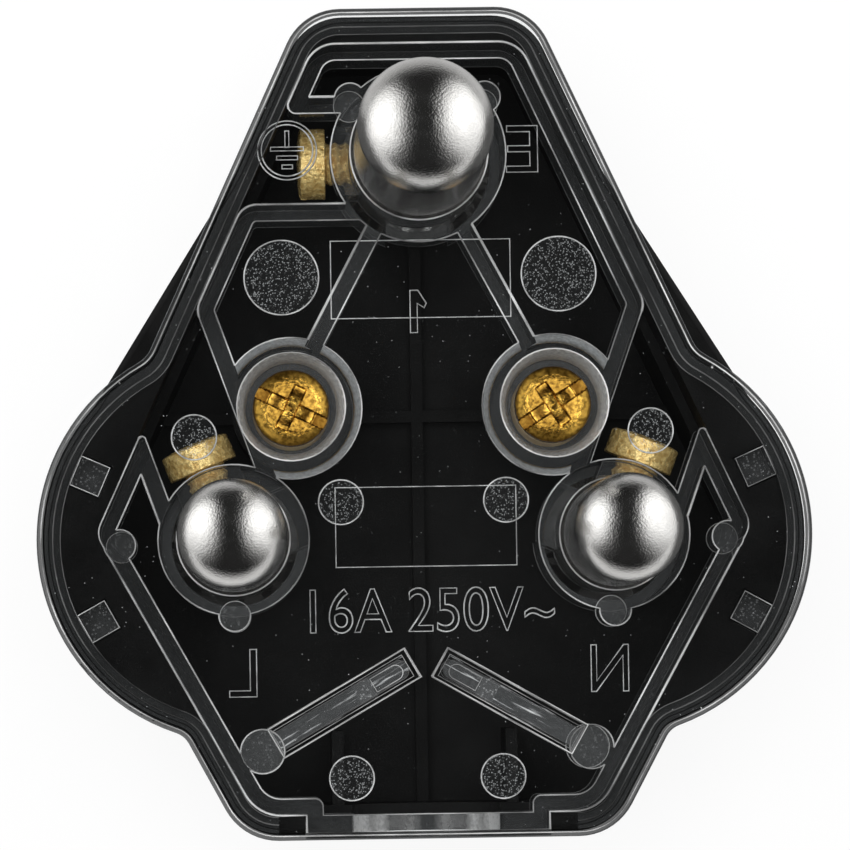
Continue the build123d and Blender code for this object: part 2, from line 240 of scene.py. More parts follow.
@dataclass(frozen=True)
class PaintedGlint(Finish):
    """Rounded inner edge of the clear moulding, with a painted glint: a pale colour, uneven along it, that
    stands in for the light which the edge gathers into a bright line.
    """

    bright: float
    dim: float
    stretch: float = 0.2

    def shade(self, graph: Graph) -> Socket:
        """The finish's nodes, up to its shader."""
        uneven = graph.span(graph.noise(self.stretch, 5.0), 0.36, 0.66, 0.0, 1.0)
        colour = graph.tint(uneven, (self.dim,) * 3, (self.bright,) * 3)
        line = graph.add("BsdfGlossy", {"Color": colour, "Roughness": 0.35}).outputs[0]
        soft = graph.add("BsdfDiffuse", {"Color": colour}).outputs[0]
        return graph.blend(0.7, line, soft)


@dataclass(frozen=True)
class GrittyMark(Finish):
    """Eroded face on the clear moulding: bright grains, so many in a millimetre, on a fainter ground."""

    grain: float
    share: float
    ground: float
    bright: float

    def shade(self, graph: Graph) -> Socket:
        """The finish's nodes, up to its shader."""
        grains = graph.specks(self.grain, 0.6, self.share)
        return graph.frosted(graph.span(grains, 0.0, 1.0, self.ground, self.bright))


@dataclass(frozen=True)
class StreakedLeaf(Finish):
    """Face of a clear leaf, with streaks of light along it and a gritty band before its tip.

    It reads distances along and across the leaf from the mesh.
    """

    band: tuple = (7.3, 8.5)

    def shade(self, graph: Graph) -> Socket:
        """The finish's nodes, up to its shader."""
        place = graph.add("Attribute", attribute_name="leaf").outputs["Vector"]
        along = graph.add("SeparateXYZ", {0: place}).outputs["X"]
        drawn = graph.add("Mapping", {"Vector": place, "Scale": (0.3, 4.0, 1.0)}).outputs[0]
        streaks = graph.span(graph.noise(1.0, 4.0, drawn), 0.58, 0.74, 0.0, 0.8)
        grit = graph.span(graph.specks(7.0, 0.6, 0.35), 0.0, 1.0, 0.03, 0.22)
        low, high = self.band
        banded = graph.maths("COMPARE", along, (low + high) / 2, (high - low) / 2)
        plain = graph.maths("MULTIPLY", streaks, graph.maths("SUBTRACT", 1.0, banded))
        return graph.frosted(graph.maths("MULTIPLY_ADD", grit, banded, plain))


@dataclass(frozen=True)
class Metal(Finish):
    """Metal with a fine grain, mirror bright or partly dulled.

    With a painted sheen, the metal is pale where its mesh's map of wear and painted light is high, and dark
    where it is low.
    """

    colour: tuple
    shade_colour: tuple
    grain: float
    relief: float
    metallic: float = 1.0
    smooth: float = 0.15
    rough: float = 0.25
    patch: float = 1.2
    painted_sheen: bool = False

    def shade(self, graph: Graph) -> Socket:
        """The finish's nodes, up to its shader."""
        grain = graph.noise(self.grain, 3.0)
        patches = graph.noise(self.patch, 2.0)
        if self.painted_sheen:
            uneven = graph.span(patches, 0.34, 0.66, 0.3, 1.3)
            # paleness from the mesh's map of wear and painted light
            pale = graph.maths("MULTIPLY", graph.attribute("polish"), uneven)
        else:
            pale = graph.span(patches, 0.35, 0.65, 0.0, 1.0)
        inputs = {
            "Base Color": graph.tint(pale, self.shade_colour, self.colour),
            "Metallic": self.metallic,
            "Roughness": graph.span(patches, 0.3, 0.7, self.smooth, self.rough),
            "Normal": graph.bump(grain, self.relief),
        }
        return graph.add("BsdfPrincipled", inputs).outputs[0]


@dataclass(frozen=True)
class BlackRubber(Finish):
    """Matt moulded rubber with a fine grain and pale rubbed patches, and painted light that makes it paler
    deep inside than on its rim.
    """

    ledge: float = 16.0
    dark: tuple = (0.004, 0.004, 0.004)
    pale: tuple = (0.016, 0.016, 0.016)

    def shade(self, graph: Graph) -> Socket:
        """The finish's nodes, up to its shader."""
        patches = graph.span(graph.noise(0.25, 4.0), 0.35, 0.7, 0.0, 0.4)
        grain = graph.noise(7.0, 3.0)
        height = graph.add("SeparateXYZ", {0: graph.place}).outputs["Z"]
        # painted light: paler below the ledge, deep inside the cover
        depth = graph.span(height, self.ledge - 0.5, self.ledge + 0.5, 0.6, 0.0)
        inputs = {
            "Base Color": graph.tint(graph.maths("ADD", patches, depth), self.dark, self.pale),
            "Roughness": graph.span(grain, 0.3, 0.7, 0.5, 0.68),
            "Normal": graph.bump(grain, 0.02),
            "Specular IOR Level": 0.12,
        }
        return graph.add("BsdfPrincipled", inputs).outputs[0]


@dataclass(frozen=True)
class StudioFloor(Finish):
    """White table with a soft shadow.

    In the mirror of the metal it is black cloth with two painted pools of light, before and behind the plug,
    which glow in the mirror and fade away from the plug.
    """

    # half width, start and end of each painted pool of light, and its whiteness
    front_light_pool: tuple = (150.0, -52.0, -280.0)
    back_light_pool: tuple = (90.0, 34.0, 170.0)
    front_white: float = 0.55
    back_white: float = 0.3
    camera_white: float = 0.9
    cloth: float = 0.08

    def light_pool(self, graph: Graph, place: tuple, white: float) -> Socket:
        """Whiteness of one painted pool of light.

        Args:
            graph: The floor's nodes.
            place: Half width, and where along the plug the pool begins and ends.
            white: Whiteness of the pool where it begins.

        Returns:
            The whiteness in the pool, which fades to 0 where it ends, and 0 off it.
        """
        x, y, _ = graph.add("SeparateXYZ", {0: graph.place}).outputs
        half_width, near, far = place
        soft = (far - near) * 0.05
        across = graph.span(graph.maths("ABSOLUTE", x), half_width * 0.8, half_width * 1.2, 1.0, 0.0)
        begun = graph.maths("MULTIPLY", across, graph.span(y, near - soft, near + soft, 0.0, 1.0))
        return graph.maths("MULTIPLY", begun, graph.span(y, near, far, white, 0.0))

    def shade(self, graph: Graph) -> Socket:
        """The floor's nodes, up to its shader."""
        # painted pools of light, which the metal and glass see glowing in the floor
        light_pools = graph.maths(
            "ADD",
            self.light_pool(graph, self.front_light_pool, self.front_white),
            self.light_pool(graph, self.back_light_pool, self.back_white),
        )
        rays = graph.add("LightPath").outputs
        mirrored = graph.maths("MAXIMUM", rays["Is Glossy Ray"], rays["Is Transmission Ray"])
        fibres = graph.span(graph.noise(0.4, 4.0), 0.3, 0.7, 0.97, 1.0)
        white = graph.maths("MULTIPLY", graph.maths("MAXIMUM", light_pools, rays["Is Camera Ray"]), fibres)
        colour = graph.tint(white, (self.cloth,) * 3, (0.95, 0.95, 0.95))
        ground = graph.add("BsdfDiffuse", {"Color": colour}).outputs[0]
        glow = graph.add("Emission", {"Strength": 1.0}).outputs[0]
        seen = graph.maths("MULTIPLY", rays["Is Camera Ray"], self.camera_white)
        return graph.blend(graph.maths("MULTIPLY_ADD", mirrored, light_pools, seen), ground, glow)


PLATE_PLASTIC = ClearPlastic("clear_plastic")
NOTCH_PLASTIC = ClearPlastic("notch_plastic", veil_colour=(1.0, 1.0, 1.0), glow_share=0.5)
# painted glints: pale colours on the beads along the moulding's edges, signs and marks
SIGN_EDGE = PaintedGlint("sign_edge", bright=0.95, dim=0.45, stretch=0.9)
BRIGHT_EDGE = PaintedGlint("bright_edge", bright=1.0, dim=0.22)
DIM_EDGE = PaintedGlint("dim_edge", bright=0.22, dim=0.05)
MARK_GRIT = GrittyMark("mark_grit", grain=10.5, share=0.38, ground=0.01, bright=0.3)
KEY_GRIT = GrittyMark("key_grit", grain=7.0, share=0.3, ground=0.01, bright=0.08)
POST_GRIT = GrittyMark("post_grit", grain=6.0, share=0.3, ground=0.05, bright=0.16)
LEAF_STREAKS = StreakedLeaf("leaf_streaks")
NICKEL = Metal(
    "nickel_plating",
    colour=(0.8, 0.79, 0.77),
    shade_colour=(0.72, 0.71, 0.69),
    grain=7.0,
    relief=0.022,
    smooth=0.13,
    rough=0.2,
)
# brass screws: their mesh's map mixes these two colours into painted highlights and darker tones
SCREW_BRASS = Metal(
    "screw_brass",
    colour=(0.84, 0.5, 0.09),
    shade_colour=(0.06, 0.022, 0.002),
    grain=4.0,
    relief=0.05,
    patch=3.5,
    painted_sheen=True,
)
TERMINAL_BRASS = Metal(
    "terminal_brass",
    colour=(1.0, 0.74, 0.3),
    shade_colour=(0.5, 0.27, 0.05),
    grain=3.0,
    relief=0.14,
    metallic=0.5,
    smooth=0.18,
    rough=0.3,
    patch=3.0,
    painted_sheen=True,
)
INSERT_BRASS = Metal(
    "insert_brass",
    colour=(0.7, 0.5, 0.2),
    shade_colour=(0.55, 0.37, 0.13),
    grain=4.0,
    relief=0.02,
    metallic=0.8,
    smooth=0.3,
    rough=0.45,
)
RUBBER = BlackRubber("moulded_rubber")
FLOOR = StudioFloor("studio_floor")


def show(name: str, data: bpy.types.ID) -> Piece:
    """Object at the origin that shows a mesh, a curve, a lamp or a camera."""
    item = bpy.data.objects.new(name, data)
    bpy.context.scene.collection.objects.link(item)
    return item


def show_mesh(name: str, points: Array, faces: Any, edges: Any = ()) -> Piece:
    """Object at the origin with a mesh of points, faces and loose edges."""
    mesh = bpy.data.meshes.new(name)
    mesh.from_pydata(points, edges, faces)
    return show(name, mesh)


def make_piece(name: str, points: Array, faces: Any, finish: Finish, slot: Slot) -> Piece:
    """Make a piece of the plug from points and faces.

    Args:
        name: The piece's name.
        points: Corners in metres, one row each.
        faces: Corner numbers of each face.
        finish: Finish of the whole piece.
        slot: Record slot that the finish stands for. Not used.

    Returns:
        The piece, which rides on the plug's body.
    """
    return dress(show_mesh(name, points, faces), finish)


def dress(piece: Piece, finish: Finish, smooth_angle: float = 35.0) -> Piece:
    """Smooth a piece's mesh, give it its finish and let it ride on the plug's body."""
    mesh = piece.data
    mesh.polygons.foreach_set("use_smooth", np.ones(len(mesh.polygons), dtype=bool))
    mesh.set_sharp_from_angle(angle=radians(smooth_angle))
    mesh.materials.clear()
    mesh.materials.append(finish.material())
    piece.modifiers.new("flat_faces", "WEIGHTED_NORMAL").keep_sharp = True
    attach(piece, BODY)
    LOG.info("%s: %d faces", piece.name, len(mesh.polygons))
    return piece


def carry(piece: Piece, name: str, numbers: Array, domain: str) -> None:
    """Write numbers on a piece's mesh, one for each face or point, for its finish to read.

    Args:
        piece: The piece.
        name: Name that the finish reads.
        numbers: A number, or a row of three, for each face or point.
        domain: What the numbers belong to, FACE or POINT.
    """
    kind, field = ("FLOAT", "value") if numbers.ndim == 1 else ("FLOAT_VECTOR", "vector")
    attribute = piece.data.attributes.new(name, kind, domain)
    attribute.data.foreach_set(field, numbers.astype(np.float32).ravel())


def read(items: Any, field: str, width: int, kind: type = float) -> Array:
    """Numbers that a mesh holds for its points, edges, corners or faces.

    Args:
        items: The points, edges, corners or faces.
        field: What to read of each.
        width: Numbers in a row.
        kind: Type of the numbers.

    Returns:
        One row for each item.
    """
    numbers = np.empty(width * len(items), dtype=kind)
    items.foreach_get(field, numbers)
    return numbers.reshape(-1, width)


def evaluated(item: Piece) -> bpy.types.Mesh:
    """New mesh of an object, with its modifiers or its curves worked out."""
    graph = bpy.context.evaluated_depsgraph_get()
    return bpy.data.meshes.new_from_object(item.evaluated_get(graph))


def node_triangles(node: str) -> tuple:
    """Corners and triangles of a CAD node, with its loose triangles joined at equal corners.

    Args:
        node: The node's name.

    Returns:
        Points in metres and corner numbers, both as arrays with three columns.
    """
    mesh = frame["nodes"][node].data
    points, joined = np.unique(read(mesh.vertices, "co", 3, np.float32), axis=0, return_inverse=True)
    triangles = joined.ravel()[read(mesh.loops, "vertex_index", 1, np.int32).reshape(-1, 3)]
    sides = triangles - np.roll(triangles, 1, axis=1)
    return points.astype(float), triangles[(sides != 0).all(axis=1)]


def plate_face() -> float:
    """Level of the plate's front face, which the pins stand on, in millimetres."""
    return float(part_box("pin_plate")[1].z) / MM


def pin_mount(name: str) -> tuple:
    """Place of the earth, live or neutral pin across the plate, and its radius, in millimetres."""
    mount = next(mount for mount in frame["record"]["mounts"] if mount["name"] == f"{name}_pin")
    x, y = (value / MM for value in mount["pos_m"][:2])
    return x, y, mount["dims"]["r_mm"]


def turn(radii: Array, heights: Array, steps: int) -> tuple:
    """Surface of revolution about Z: a ring of points at each radius and height, with both ends closed.

    Args:
        radii: Radius of each ring, or an array of a ring's radii at each step.
        heights: Height of each ring, or an array of a ring's heights at each step.
        steps: Points in a ring.

    Returns:
        Points, and faces as lists of corner numbers, with outward sides when the rings go up.
    """
    angles = np.arange(steps) * tau / steps
    shape = (len(radii), steps)
    radii, heights = (np.broadcast_to(np.reshape(rows, (len(rows), -1)), shape) for rows in (radii, heights))
    rings = np.stack([radii * np.cos(angles), radii * np.sin(angles), heights], axis=2)
    ends = [[0.0, 0.0, rings[0, :, 2].mean()], [0.0, 0.0, rings[-1, :, 2].mean()]]
    points = np.concatenate([rings.reshape(-1, 3), ends])
    here = np.arange(steps)
    after = (here + 1) % steps
    base = (np.arange(len(rings) - 1) * steps)[:, None]
    quads = np.stack([base + here, base + after, base + steps + after, base + steps + here], axis=2)
    low, high = len(points) - 2, len(points) - 1
    last = (len(rings) - 1) * steps
    floor = np.stack([after, here, np.full(steps, low)], axis=1)
    roof = np.stack([last + here, last + after, np.full(steps, high)], axis=1)
    return points, quads.reshape(-1, 4).tolist() + floor.tolist() + roof.tolist()


def carve(points: Array, faces: list, cutters: Sequence[tuple]) -> tuple:
    """Cut closed shapes out of a closed shape.

    Args:
        points: Corners of the shape.
        faces: Faces of the shape.
        cutters: Points and faces of each shape to cut out.

    Returns:
        Points and faces of what is left.
    """
    made = [show_mesh("carving", *shape) for shape in [(points, faces), *cutters]]
    for cutter in made[1:]:
        modifier = made[0].modifiers.new("cut", "BOOLEAN")
        modifier.operation = "DIFFERENCE"
        modifier.solver = "EXACT"
        modifier.object = cutter
    result = evaluated(made[0])
    left = read(result.vertices, "co", 3), [list(face.vertices) for face in result.polygons]
    bpy.data.meshes.remove(result)
    for holder in made:
        mesh = holder.data
        bpy.data.objects.remove(holder)
        bpy.data.meshes.remove(mesh)
    return left


def placed(points: Array, matrix: Matrix) -> Array:
    """Points in millimetres, moved by a matrix and turned into metres."""
    move = np.array(matrix)
    return (points @ move[:3, :3].T + move[:3, 3]) * MM


def bead(name: str, points: Array, edges: Array, radius: float, finish: Finish) -> Piece:
    """Round bead of one radius along the edges of a wire.

    Args:
        name: The piece's name.
        points: The wire's corners in metres.
        edges: Corner numbers of each stretch.
        radius: Radius of the bead in millimetres.
        finish: Finish of the bead.

    Returns:
        The bead as one piece.
    """
    piece = show_mesh(name, points, (), edges.tolist())
    bpy.ops.object.select_all(action="DESELECT")
    piece.select_set(True)
    bpy.context.view_layer.objects.active = piece
    bpy.ops.object.convert(target="CURVE")
    piece.data.bevel_depth = radius * MM
    piece.data.bevel_resolution = 1
    piece.data.use_fill_caps = True
    bpy.ops.object.convert(target="MESH")
    return dress(piece, finish, smooth_angle=60.0)


def circle(centre: Sequence[float], radius: float, steps: int = 72) -> Array:
    """Points of a flat circle: the centre plus radius times cosine and sine."""
    angles = np.arange(steps) * tau / steps
    return np.stack([centre[0] + radius * np.cos(angles), centre[1] + radius * np.sin(angles)], axis=1)


def rectangle(low: Sequence[float], high: Sequence[float]) -> Array:
    """Corners of a flat upright rectangle."""
    return np.array([low, (high[0], low[1]), high, (low[0], high[1])], dtype=float)


def axes_at(angle: float) -> Array:
    """Directions along and across a line at an angle from X in degrees, one row each."""
    way = cos(radians(angle)), sin(radians(angle))
    return np.array([way, (-way[1], way[0])])


def closed(outline: Array) -> tuple:
    """A flat outline as a wire: its points and the edges that close it."""
    here = np.arange(len(outline))
    return outline, np.stack([here, (here + 1) % len(outline)], axis=1)


def lay(wires: Sequence[tuple], level: float) -> tuple:
    """Lay flat wires at one level and join them.

    Args:
        wires: Flat points in millimetres, and edges, of each wire.
        level: Height of the wires in millimetres.

    Returns:
        Points in metres and the edges between them.
    """
    starts = np.cumsum([0] + [len(flat) for flat, _ in wires[:-1]])
    flat = np.concatenate([flat for flat, _ in wires])
    points = np.column_stack([flat, np.full(len(flat), level)]) * MM
    return points, np.concatenate([edges + start for (_, edges), start in zip(wires, starts)])


def text_wire(words: str) -> tuple:
    """Outlines of words in a plain typeface.

    Args:
        words: The words.

    Returns:
        Flat points that fill a box of width 1 and height 1, and the edges between them.
    """
    curve = bpy.data.curves.new("words", "FONT")
    curve.body = words
    curve.fill_mode = "NONE"
    curve.resolution_u = 6
    holder = show("words", curve)
    mesh = evaluated(holder)
    flat = read(mesh.vertices, "co", 3)[:, :2]
    edges = read(mesh.edges, "vertices", 2, np.int32)
    bpy.data.objects.remove(holder)
    bpy.data.curves.remove(curve)
    bpy.data.meshes.remove(mesh)
    low, high = flat.min(axis=0), flat.max(axis=0)
    return (flat - low) / (high - low), edges


@dataclass
class PlateSigns:
    """Raised outlines on the plate's back: letters, earth sign, rating, mould number and two bare frames.

    Each word has its middle, its width and height, and whether it reads from behind.
    """

    words: tuple = (
        ("E", (6.94, 18.28), (2.09, 3.1), True),
        ("L", (-12.2, -16.46), (1.82, 3.16), True),
        ("N", (12.26, -16.48), (2.49, 3.11), True),
        ("16A 250V~", (0.48, -12.42), (16.29, 2.93), False),
    )
    frames: tuple = (((-5.96, 7.09), (6.03, 12.28)), ((-5.89, -9.51), (6.17, -4.19)))
    numeral_stem: tuple = ((-0.69, 6.09), (-0.22, 6.09), (-0.22, 8.05))
    numeral_flag: tuple = ((0.25, 7.75), (0.39, 8.05), (-0.16, 8.92), (-0.69, 8.92))
    earth_place: tuple = (-8.75, 18.4)
    earth_rings: tuple = (1.97, 1.72)
    earth_bars: tuple = ((0.75, 0.26, 1.1), (0.1, 2.2, 0.26), (-0.5, 1.4, 0.26), (-1.1, 0.7, 0.26))

    def build(self, level: float, radius: float) -> Piece:
        """Make all the signs as one bead of a radius, with its middle at a level, and a painted glint for its
        colour.
        """
        wires = []
        for words, centre, (width, height), behind in self.words:
            flat, edges = text_wire(words)
            wires.append(((flat - 0.5) * (-width if behind else width, height) + centre, edges))
        wires += [closed(rectangle(low, high)) for low, high in self.frames]
        wires.append(closed(np.array(self.numeral_stem + self.numeral_flag)))
        wires += [closed(circle(self.earth_place, ring)) for ring in self.earth_rings]
        for rise, width, height in self.earth_bars:
            middle = np.array(self.earth_place) + (0, rise)
            half = np.array([width, height]) / 2
            wires.append(closed(rectangle(middle - half, middle + half)))
        return bead("plate_signs", *lay(wires, level), radius, SIGN_EDGE)


@dataclass
class PinPlate:
    """Clear pin plate: its moulding, the bright lines along its edges, its marks and its signs.

    Places on it are in millimetres, on the neutral side, and are repeated on the live side. A veil is the
    share of light that a face scatters, and a lean is the upward part of a face's normal.
    """

    rib_height: float = 7.0
    edge_radius: float = 0.5
    level_step: float = 0.1
    boss_step: float = 1.0
    boss_wall: float = 1.51
    screw_place: tuple = (8.74, 1.16)
    screw_boss_radius: float = 4.72
    mouth_radius: float = 3.62
    flare_radius: float = 3.8
    rim_lean: tuple = (0.02, 0.999)
    rim_fade: tuple = (0.1, 0.5)
    rim_painted_glint: tuple = (0.4, 0.01)
    rim_shade: float = 0.9
    rim_gloss: float = 0.4
    wall_veil: float = 0.03
    end_veil: float = 0.055
    boss_end_veil: float = 0.13
    leaf_veil: float = 0.04
    mouth_lean: float = 0.05
    mouth_veil: float = 0.7
    flare_lean: float = -0.1
    flare_veil: float = 0.62
    cord_radius: float = 5.0
    cord_side: float = -20.0
    cord_wall: tuple = (8.0, -25.0)
    notch_lean: tuple = (0.07, 0.22, 0.4, 0.5, 0.62, 0.74, 0.86, 1.0)
    notch_painted_reflection: tuple = (0.0, 0.3, 0.14, 0.16, 0.75, 0.45, 1.0, 1.0)
    notch_steps: int = 121
    outline_middle: tuple = (0.0, -3.0)
    outline_reach: float = 14.5
    fine_gap: float = 0.02
    rim_inset: float = 0.3
    margin_span: tuple = (0.45, 1.55)
    margin_veil: tuple = (0.035, 0.015)
    margin_lines: tuple = (1.0, 1.5)
    line_depth: float = 0.06
    bright_bead: float = 0.085
    soft_bead: float = 0.055
    dim_bead: float = 0.035
    seat_lift: float = 0.03
    sharp_angle: float = 30.0
    sliver: float = 1e-15
    ejectors: tuple = ((9.26, 9.9, 2.49), (5.51, -5.16, 1.49), (5.05, -23.57, 1.48), (15.24, -0.68, 1.5))
    posts: tuple = ((4.49, 21.8, 1.05), (12.7, -12.61, 1.05), (20.29, -7.82, 1.05), (10.97, -21.7, 1.47))
    key_centre: tuple = (12.2, -7.57)
    key_ring: float = 10.95
    key_angles: tuple = (23.7, -29.0)
    key_size: float = 2.05
    key_line: float = 19.865
    leaf_top: float = 22.3
    leaf_root: tuple = (10.97, -21.7)
    leaf_angle: float = 150.15
    leaf_span: tuple = (1.15, 11.25)
    leaf_width: float = 1.64
    leaf_pocket: tuple = (8.6, 10.3)
    leaf_pocket_radius: float = 0.5
    leaf_streak_shift: float = 5.0

    @property
    def face(self) -> float:
        """Level of the front face, which the pins stand on."""
        return plate_face()

    @property
    def inner(self) -> float:
        """Level of the back of the plate, which the ribs stand on."""
        return self.face - PLATE_THICKNESS

    @property
    def rib_end(self) -> float:
        """Level of the ribs' ends."""
        return self.inner - self.rib_height

    def build(self) -> None:
        """Make the plate and all that is on it."""
        self.moulding()
        self.edges()
        self.margin()
        self.notch()
        self.marks()
        self.leaves()
        PlateSigns().build(self.inner - self.soft_bead, self.soft_bead)

    def beside(self, spots: Array, place: tuple, low: float, high: float) -> Array:
        """Which spots lie between two distances from a place or from its mirror image on the live side."""
        reach = np.hypot(np.abs(spots[:, 0]) - place[0], spots[:, 1] - place[1])
        return (reach > low) & (reach < high)

    def veils(self, centres: Array, normals: Array) -> Array:
        """Share of light that each face scatters.

        Args:
            centres: Middle of each face in millimetres.
            normals: Outward direction of each face.

        Returns:
            The share for each face.
        """
        z, up = centres[:, 2], normals[:, 2]
        flat = np.abs(up) > LEVEL
        end = (up < -LEVEL) & (z < self.inner - self.level_step)
        seat = (up > LEVEL) & (z < self.face - self.level_step)
        rim = (z > self.face - self.edge_radius) & (up > self.rim_lean[0]) & ~flat
        mouth = self.beside(centres, self.screw_place, 0.0, self.mouth_radius) & (up > self.mouth_lean)
        boss = self.screw_boss_radius + self.level_step
        flare = self.beside(centres, self.screw_place, self.flare_radius, boss) & (up < self.flare_lean)
        veil = np.full(len(z), self.wall_veil)
        veil[flat & ~seat] = 0.0
        veil[end] = self.end_veil
        veil[end & (z < self.rib_end - self.boss_step)] = self.boss_end_veil
        veil[seat & (np.abs(z - self.leaf_top) < NEAR)] = self.leaf_veil
        # painted glint: the rounded rim scatters most light on its steepest faces
        veil[rim] = np.interp(up[rim], self.rim_fade, self.rim_painted_glint)
        veil[mouth & ~flat] = self.mouth_veil
        veil[flare & ~flat] = self.flare_veil
        return veil

    def moulding(self) -> None:
        """The plate's own solid, joined and smoothed, with what its finish reads written on its faces."""
        points, triangles = node_triangles("pin_plate")
        seated = np.abs(points[:, 2] / MM - self.rib_end) < TOUCH
        points[seated, 2] += self.seat_lift * MM
        plate = make_piece("clear_pin_plate", points, triangles, PLATE_PLASTIC, Slot.PLATE)
        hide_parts("pin_plate")
        centres = read(plate.data.polygons, "center", 3) / MM
        normals = read(plate.data.polygons, "normal", 3)
        low, high = self.rim_lean
        front = (centres[:, 2] > self.face - self.edge_radius) & (normals[:, 2] > low)
        rounded = front & (normals[:, 2] < high)
        values = {
            "veil": self.veils(centres, normals),
            "dust": np.where(front, 1.0, 0.0),
            "shade": np.where(rounded, self.rim_shade, 0.0),
            "gloss": np.where(rounded, self.rim_gloss, 1.0),
        }
        for name, numbers in values.items():
            carry(plate, name, numbers, "FACE")

    def edges(self) -> None:
        """Painted glints along the plate's sharp edges: bright lines, strong outside the ribs, fainter
        elsewhere.
        """
        points, triangles = node_triangles("pin_plate")
        sides = points[triangles]
        normals = np.cross(sides[:, 1] - sides[:, 0], sides[:, 2] - sides[:, 0])
        normals /= np.maximum(np.linalg.norm(normals, axis=1, keepdims=True), self.sliver)
        pairs = np.concatenate([triangles[:, pick] for pick in ([0, 1], [1, 2], [2, 0])])
        pairs = np.sort(pairs, axis=1)
        owner = np.tile(np.arange(len(triangles)), 3)
        order = np.lexsort((pairs[:, 1], pairs[:, 0]))
        pairs, owner = pairs[order], owner[order]
        twin = (pairs[1:] == pairs[:-1]).all(axis=1)
        edge, first, second = pairs[:-1][twin], owner[:-1][twin], owner[1:][twin]
        sharp = (normals[first] * normals[second]).sum(axis=1) < cos(radians(self.sharp_angle))
        ends = points[edge] / MM
        middle = ends.mean(axis=1)
        sharp &= np.ptp(ends[:, :, 2], axis=1) < NEAR
        root = sharp & (np.abs(middle[:, 2] - self.inner) < NEAR)
        front = sharp & (middle[:, 2] > self.face - NEAR)
        steeper = np.abs(normals[first][:, 2]) < np.abs(normals[second][:, 2])
        wall = np.where(steeper[:, None], normals[first], normals[second])
        outward = (wall[:, :2] * middle[:, :2]).sum(axis=1) > 0
        boss = self.on_boss(middle)
        for name, chosen, radius, finish in (
            ("rib_outer_fillets", root & outward & ~boss, self.bright_bead, BRIGHT_EDGE),
            ("rib_inner_fillets", root & ~outward & ~boss, self.soft_bead, BRIGHT_EDGE),
            ("boss_fillets", root & boss, self.soft_bead, BRIGHT_EDGE),
            ("front_edge_fillets", front, self.soft_bead, BRIGHT_EDGE),
            ("rib_end_fillets", sharp & ~root & ~front, self.dim_bead, DIM_EDGE),
        ):
            bead(name, points, edge[chosen], radius, finish)

    def on_boss(self, spots: Array) -> Array:
        """Which spots lie on a boss of a screw or a pin, on a post or on a key."""
        found = self.beside(spots, self.screw_place, 0.0, self.screw_boss_radius + NEAR)
        for name in TERMINAL_ANGLES:
            x, y, radius = pin_mount(name)
            reach = np.hypot(spots[:, 0] - x, spots[:, 1] - y)
            found |= np.abs(reach - radius - self.boss_wall) < NEAR
        for x, y, radius in self.posts:
            found |= self.beside(spots, (x, y), radius - NEAR, radius + NEAR)
        low, high = self.key_ring - self.key_size, self.key_ring + self.key_size
        return found | self.beside(spots, self.key_centre, low, high) & (np.abs(spots[:, 0]) > self.key_line)

    def inset(self, distance: float) -> Array:
        """The plate's outline, moved inwards by a distance, as flat points in order around it."""
        points = node_triangles("pin_plate")[0] / MM
        flat = points[np.abs(points[:, 2] - self.face + self.edge_radius) < self.fine_gap, :2]
        spokes = flat - self.outline_middle
        flat = flat[np.hypot(spokes[:, 0], spokes[:, 1]) > self.outline_reach]
        flat = np.unique(flat.round(3), axis=0)
        spokes = flat - self.outline_middle
        line = flat[np.argsort(np.arctan2(spokes[:, 1], spokes[:, 0]))]
        along = np.roll(line, -1, axis=0) - np.roll(line, 1, axis=0)
        along /= np.linalg.norm(along, axis=1, keepdims=True)
        return line + distance * np.column_stack([-along[:, 1], along[:, 0]])

    def margin(self) -> None:
        """Broken bright line along the rounded rim, which is a painted glint, and a faint band and two lines
        on the margin's back.
        """
        rings = [closed(self.inset(distance)) for distance in self.margin_span]
        edges = rings[1][1]
        count = len(edges)
        middle = rings[1][0][edges].mean(axis=1)
        beyond, above = self.cord_wall
        edges = edges[(middle[:, 1] > above) | (np.abs(middle[:, 0]) > beyond)]
        points, _ = lay(rings, self.inner - self.seat_lift / 2)
        faces = np.column_stack([edges[:, ::-1], edges + count])
        band = make_piece("margin_band", points, faces, PLATE_PLASTIC, Slot.PLATE)
        carry(band, "veil", np.repeat(self.margin_veil, count), "POINT")
        carry(band, "dust", np.ones(2 * count), "POINT")
        rim = lay([closed(self.inset(self.rim_inset))], self.face - self.line_depth)
        bead("rim_line", *rim, self.soft_bead, BRIGHT_EDGE)
        names, radii = ("margin_line", "margin_end_line"), (self.soft_bead, self.dim_bead)
        for name, distance, radius in zip(names, self.margin_lines, radii):
            line, _ = lay([closed(self.inset(distance))], self.inner + self.line_depth)
            bead(name, line, edges, radius, DIM_EDGE)

    def notch(self) -> None:
        """Curved face of the cord notch: a half-round strip with a veil that changes smoothly across it, a
        painted reflection that is brightest towards its steep ends.
        """
        points = node_triangles("pin_plate")[0] / MM
        reach = np.hypot(points[:, 0], points[:, 2] - self.rib_end)
        depths = points[(np.abs(reach - self.cord_radius) < NEAR) & (points[:, 1] < self.cord_side), 1]
        across = np.linspace(-1.0, 1.0, self.notch_steps)
        rise = self.rib_end + self.cord_radius * np.sqrt(1.0 - across**2) + self.seat_lift
        arc = np.column_stack([self.cord_radius * across, np.zeros(len(across)), rise])
        low, high = depths.min() + self.fine_gap, depths.max() - self.fine_gap
        strip = np.concatenate([arc + (0.0, low, 0.0), arc + (0.0, high, 0.0)])
        here = np.arange(len(across) - 1)
        faces = np.column_stack([here, here + len(across), here + len(across) + 1, here + 1])
        piece = make_piece("cord_notch_face", strip * MM, faces, NOTCH_PLASTIC, Slot.PLATE)
        # painted reflection: the veil stands in for light that the clear curve mirrors, bright towards its
        # ends and dark in its middle
        veil = np.interp(np.abs(across), self.notch_lean, self.notch_painted_reflection)
        carry(piece, "veil", np.tile(veil, 2), "POINT")

